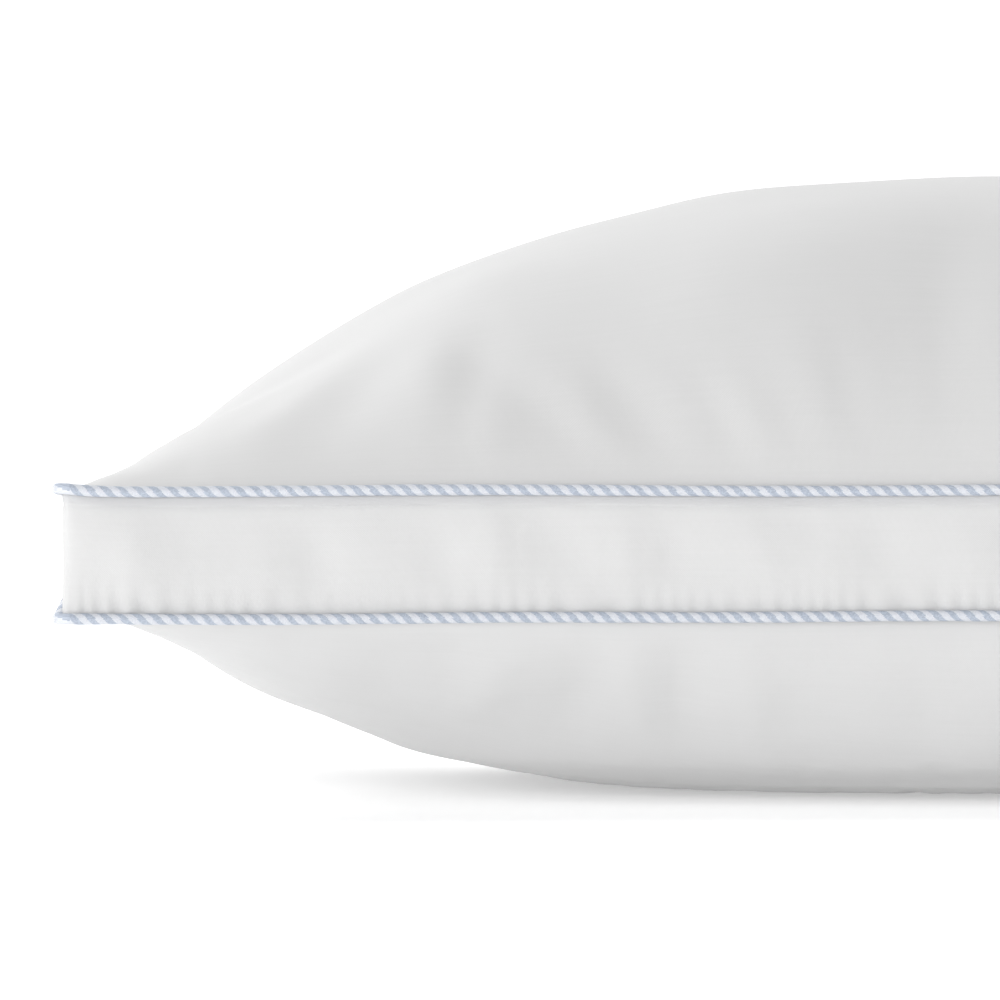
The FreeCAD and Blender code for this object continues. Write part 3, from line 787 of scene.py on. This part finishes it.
def filling():
    """The fibre filling, as one soft block inside the cloth: a crown and a belly on the seam's
    outline, drawn in by its loft, with lumps."""
    columns, rows = 97, 65
    top, _, inward = dome_grid(columns, rows, CROWN - UPPER_SEAM - 16 * MM, TOP_POWERS, 12 * MM)
    base, _, _ = dome_grid(columns, rows, BASE_DROP - 14 * MM, BASE_POWERS, 12 * MM)
    rough = lumps(top[..., 0], top[..., 1], 41, 34 * MM, 0.9 * MM) * step(inward, 0, 30 * MM)
    top[..., 2] = UPPER_SEAM - 6 * MM + top[..., 2] + rough
    base[..., 2] = np.maximum(LOWER_SEAM + 8 * MM - base[..., 2] + rough, 8 * MM)
    # Both grids, then a wall of quads between their rims.
    count = columns * rows
    rim = np.concatenate([np.arange(columns) * rows, (columns - 1) * rows + np.arange(1, rows),
                          (columns - 2 - np.arange(columns - 1)) * rows + rows - 1,
                          rows - 2 - np.arange(rows - 2)])
    after = np.roll(rim, -1)
    wall = np.stack([rim + count, after + count, after, rim], 1)
    faces = np.concatenate([grid_faces(columns, rows), grid_faces(columns, rows, flip=True) + count,
                            wall])
    return mesh_object("fibre_filling", np.concatenate([top.reshape(-1, 3), base.reshape(-1, 3)]),
                       faces)


LABEL_WIDTH, LABEL_DROP = 32 * MM, 40 * MM


def seam_back_y(x):
    """How far back the back side's seam lies at an x."""
    centre = CORNER_Y - SIDE_BOW + SIDE_RADIUS
    return centre - math.sqrt(SIDE_RADIUS ** 2 - x ** 2)


def label_loop():
    """The care label: a tape folded in half, with both ends sewn under the lower piping at the
    back, hanging with its fold down and curling a little away from the pillow."""
    middle = (LABEL_LOW.x + LABEL_HIGH.x) / 2
    across = np.linspace(-0.5, 0.5, 17) * LABEL_WIDTH
    share = np.linspace(-1, 1, 49)
    down = LABEL_DROP * np.sin((1 - np.abs(share)) * math.pi / 2)
    half = 0.35 * MM * np.tanh(share * 9)
    half = half + 0.44 * MM * np.sin(math.pi * np.abs(share)) * np.sign(share)
    start = seam_back_y(middle)
    lean = 0.10 * down + 7 * MM * (down / LABEL_DROP) ** 3
    x = middle + across[:, None] + 0 * share[None]
    curl = 1.6 * MM * (across[:, None] / LABEL_WIDTH * 2) ** 2 * (down / LABEL_DROP)[None]
    y = start + 3.4 * MM + lean[None] + half[None] + curl
    z = LOWER_SEAM - 0.6 * MM - down[None] * 0.97 + 0 * across[:, None]
    points = np.stack([x, y, z], -1)
    uv = np.stack(np.meshgrid(across, share * LABEL_DROP, indexing="ij"), -1)
    return mesh_object("folded_care_label", points, grid_faces(17, 49), uv / MM)


# ---------------------------------------------------------------- make the pieces

percale = cotton_percale("white_cotton_percale")
# The gusset strips' percale, with painted shade just under the upper piping.
strip_percale_painted_shade = cotton_percale("white_cotton_percale_strip_painted_shade", painted_shade_from=LAYERS_EDGE + 0.5)
stripes = striped_cotton()


def dress(piece, material, slot, *nodes):
    """Material, body and the CAD nodes that a piece stands for. The slot argument is not used."""
    piece.data.materials.clear()
    piece.data.materials.append(material)
    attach(piece, "root")
    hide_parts(*nodes)
    return piece


top = dress(finish_cloth(top_panel_cloth(), 1), percale, "shell_cotton", "top_panel")
base = dress(finish_cloth(bottom_panel_cloth(), 1), percale, "shell_cotton", "bottom_panel")

NEAR_JOIN = SEGMENT_ENDS[0] + SEGMENT_LENGTHS[1] / 2
FAR_JOIN = SEGMENT_ENDS[4] + SEGMENT_LENGTHS[5] / 2
front = gusset_cloth("gusset_strip_front_cloth", FAR_JOIN - SEAM_LENGTH, NEAR_JOIN)
dress(finish_cloth(front, 1), strip_percale_painted_shade, "shell_cotton", "gusset_strip_front")
back = gusset_cloth("gusset_strip_back_cloth", NEAR_JOIN, FAR_JOIN)
dress(finish_cloth(back, 1), strip_percale_painted_shade, "shell_cotton", "gusset_strip_back")
dress(piping_cover("upper_piping_cloth", UPPER_SEAM, upper_lift), stripes,
      "striped_piping_cotton", "upper_piping_cover")
dress(piping_cover("lower_piping_cloth", LOWER_SEAM, lower_lift), stripes,
      "striped_piping_cotton", "lower_piping_cover")

cord_material = twisted_yarn("undyed_cotton_cord", "#e2ddcf", "#c9c2b0", 0.004)
thread_material = twisted_yarn("white_polyester_thread", "#f1f1f1", "#dcdcdc", 0.001)
dress(piping_cord("upper_filler_cord", UPPER_SEAM, upper_lift), cord_material, "filler_cord",
      "upper_piping_cord")
dress(piping_cord("lower_filler_cord", LOWER_SEAM, lower_lift), cord_material, "filler_cord",
      "lower_piping_cord")
fibre = dress(filling(), lofted_fibre(), "polyester_fibre", "fibre_fill")

label = label_loop()
tape_wall = label.modifiers.new("thickness", "SOLIDIFY")
tape_wall.thickness = 0.2 * MM
dress(label, satin_tape(), "label_tape", "care_label")

dress(seam_thread("upper_seam_thread", UPPER_SEAM, upper_lift), thread_material, "sewing_thread",
      "upper_seam_stitching")
dress(seam_thread("lower_seam_thread", LOWER_SEAM, lower_lift), thread_material, "sewing_thread",
      "lower_seam_stitching")
join_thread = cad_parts["gusset_join_stitching"]
join_thread.data.materials.clear()
join_thread.data.materials.append(thread_material)

# ---------------------------------------------------------------- floor, light and camera


FLOOR_REACH = 12.0
FLOOR_PAINTED_GLOW = 0.24


def floor_plane():
    """Plain pale floor that glows a little: painted light that keeps the shade under the belly
    soft."""
    corners = FLOOR_REACH * np.array([[-1, -1, 0], [1, -1, 0], [1, 1, 0], [-1, 1, 0]])
    floor = mesh_object("floor", corners, np.array([[0, 1, 2, 3]]))
    material, tree, shader = new_material("plain_white_floor_painted_glow")
    shader.inputs["Base Color"].default_value = linear("#ffffff")
    shader.inputs["Roughness"].default_value = 0.9
    shader.inputs["Specular IOR Level"].default_value = 0.1
    # Painted light: the floor's emission fills the shade under the pillow.
    shader.inputs["Emission Color"].default_value = (1, 1, 1, 1)
    shader.inputs["Emission Strength"].default_value = FLOOR_PAINTED_GLOW
    floor.data.materials.append(material)
    return floor


def area_light(name, place, target, size, power):
    """A square soft light at a place, aimed at a target."""
    data = bpy.data.lights.new(name, "AREA")
    data.size, data.energy = size, power
    light = bpy.data.objects.new(name, data)
    bpy.context.scene.collection.objects.link(light)
    place, target = Vector(place), Vector(target)
    light.location = place
    light.rotation_euler = (target - place).to_track_quat("-Z", "Y").to_euler()
    return light


def top_light(toward, strength, spread):
    """An overhead bank of lamps, as one sun with a wide face: toward points at it from the
    pillow, and spread is its width in degrees."""
    data = bpy.data.lights.new("overhead_bank", "SUN")
    data.energy, data.angle = strength, math.radians(spread)
    light = bpy.data.objects.new("overhead_bank", data)
    bpy.context.scene.collection.objects.link(light)
    light.rotation_euler = Vector(toward).to_track_quat("Z", "Y").to_euler()
    return light


def white_world(seen, lit):
    """A white surround: as bright as seen behind the pillow, and as bright as lit where it
    lights the pillow."""
    world = bpy.data.worlds.new("white_surround")
    world.use_nodes = True
    tree = world.node_tree
    ray = add_node(tree, "ShaderNodeLightPath")
    strength = add_node(tree, "ShaderNodeMapRange", {"Value": ray.outputs["Is Camera Ray"],
                                                     "To Min": lit, "To Max": seen})
    shade = tree.nodes.get("Background")
    shade.inputs["Color"].default_value = (1, 1, 1, 1)
    tree.links.new(strength.outputs[0], shade.inputs["Strength"])
    bpy.context.scene.world = world


def camera(place, target, lens):
    """A long lens, level with the upper part of the pillow."""
    data = bpy.data.cameras.new("camera")
    data.lens, data.sensor_width = lens, 36.0
    data.clip_start, data.clip_end = 0.1, 200.0
    eye = bpy.data.objects.new("camera", data)
    bpy.context.scene.collection.objects.link(eye)
    place, target = Vector(place), Vector(target)
    eye.location = place
    eye.rotation_euler = (target - place).to_track_quat("-Z", "Y").to_euler()
    bpy.context.scene.camera = eye


floor_plane()
white_world(1.3, 0.56)
top_light((-0.3, 0.8, 0.9), 2.05, 60)
area_light("front_softbox", (-1.0, -3.6, 0.3), (0, 0, 0.1), 2.2, 70.0)
area_light("left_softbox", (-2.8, -0.9, 0.55), (-0.2, 0, 0.05), 1.6, 24.0)
EYE_X, EYE_DISTANCE, EYE_HEIGHT, EYE_SLOPE = -0.2016, 3.0, 0.175, 0.0175
camera((EYE_X, -EYE_DISTANCE, EYE_HEIGHT), (EYE_X, 0.0, EYE_HEIGHT - EYE_SLOPE * EYE_DISTANCE),
       250.0)
bpy.context.scene.view_settings.view_transform = "Standard"
